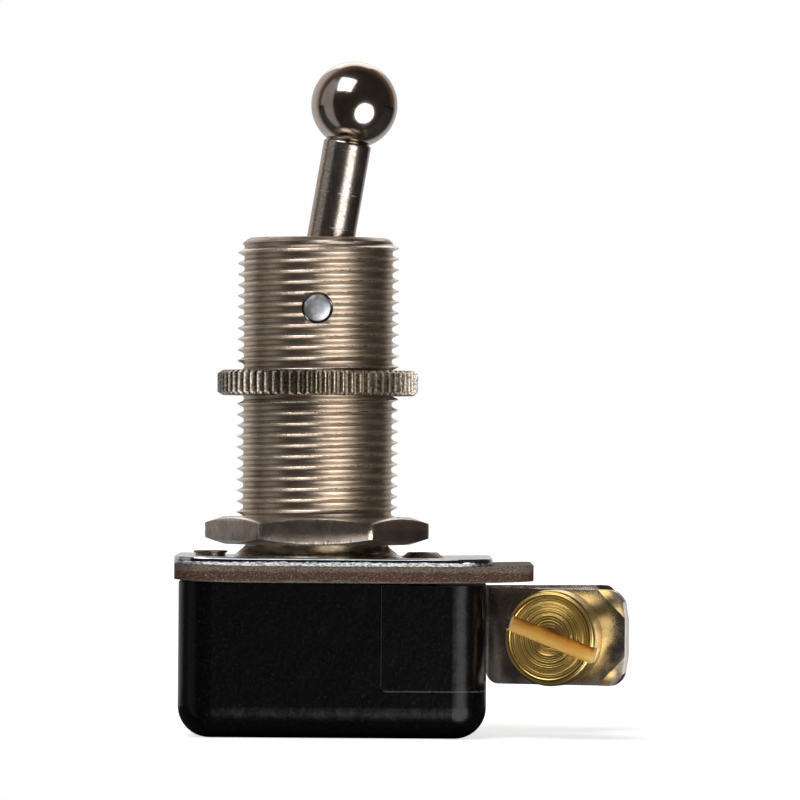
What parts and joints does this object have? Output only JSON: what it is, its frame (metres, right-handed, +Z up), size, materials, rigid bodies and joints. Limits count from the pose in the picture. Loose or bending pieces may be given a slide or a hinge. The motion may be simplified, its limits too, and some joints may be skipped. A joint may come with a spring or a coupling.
{
  "type": "panel toggle switch",
  "caption": "Panel-mount toggle switch: ball lever in a long threaded bushing with hex and knurled nuts, on a black case with a fibre insulator and splayed screw terminals.",
  "frame": {"origin": "on the bushing's axis, at the top face of the mounting plate", "axes": "+Z up the bushing towards the lever's ball; +X towards the terminals; -Y is the front"},
  "size_m": [0.033, 0.019, 0.0495],
  "materials": {
    "case": "moulded black phenolic, satin gloss",
    "block": "moulded black phenolic, satin gloss",
    "fibre": "brown vulcanised fibre, tan skins and a red-brown core",
    "zinc_plate": "bright zinc plated sheet steel",
    "bushing": "satin nickel plate",
    "pin": "plain steel",
    "lever": "polished nickel plate",
    "spring": "spring steel wire",
    "hex_nut": "nickel plate, mottled",
    "knurled_nut": "nickel plate",
    "rivet": "plated steel, dulled",
    "terminal": "nickel plated brass",
    "terminal_screw": "turned brass",
    "contact": "silver",
    "rocker": "moulded brown phenolic",
    "bridge": "rolled phosphor bronze"
  },
  "bodies": {
    "housing": {"case": "case", "terminal_block": "block", "insulator_plate": "fibre", "mounting_plate": "zinc_plate", "bushing": "bushing", "pivot_pin": "pin", "rivet_left": "rivet", "rivet_right": "rivet", "front_terminal": "terminal", "rear_terminal": "terminal", "front_fixed_contact": "contact", "rear_fixed_contact": "contact", "rocker_pin": "pin"},
    "lever": {"lever": "lever", "toggle_spring": "spring"},
    "rocker": {"rocker": "rocker", "bridge_strip": "bridge", "front_moving_contact": "contact", "rear_moving_contact": "contact"},
    "hex_nut": {"hex_nut": "hex_nut"},
    "knurled_nut": {"knurled_nut": "knurled_nut"},
    "front_screw": {"front_terminal_screw": "terminal_screw"},
    "rear_screw": {"rear_terminal_screw": "terminal_screw"}
  },
  "joints": [
    {"name": "lever_throw", "type": "hinge", "parent": "housing", "child": "lever", "pos_m": [0, 0, 0.0182], "axis": [0, -1, 0], "range_deg": [0, 19.2], "deforming": ["toggle_spring"]},
    {"name": "rocker_swing", "type": "hinge", "parent": "housing", "child": "rocker", "pos_m": [0, 0, -0.0099], "axis": [0, -1, 0], "range_deg": [0, 22]},
    {"name": "hex_nut_travel", "type": "slide", "parent": "housing", "child": "hex_nut", "axis": [0, 0, 1], "range_m": [0, 0.0043]},
    {"name": "knurled_nut_travel", "type": "slide", "parent": "housing", "child": "knurled_nut", "axis": [0, 0, 1], "range_m": [-0.0043, 0.0085]},
    {"name": "front_screw_travel", "type": "slide", "parent": "housing", "child": "front_screw", "axis": [-0.342, -0.9397, 0], "range_m": [0, 0.0025]},
    {"name": "rear_screw_travel", "type": "slide", "parent": "housing", "child": "rear_screw", "axis": [-0.342, 0.9397, 0], "range_m": [0, 0.0025]}
  ],
  "couplings": [
    {"joint": "rocker_swing", "follows": "lever_throw", "ratio": 1.1458}
  ]
}
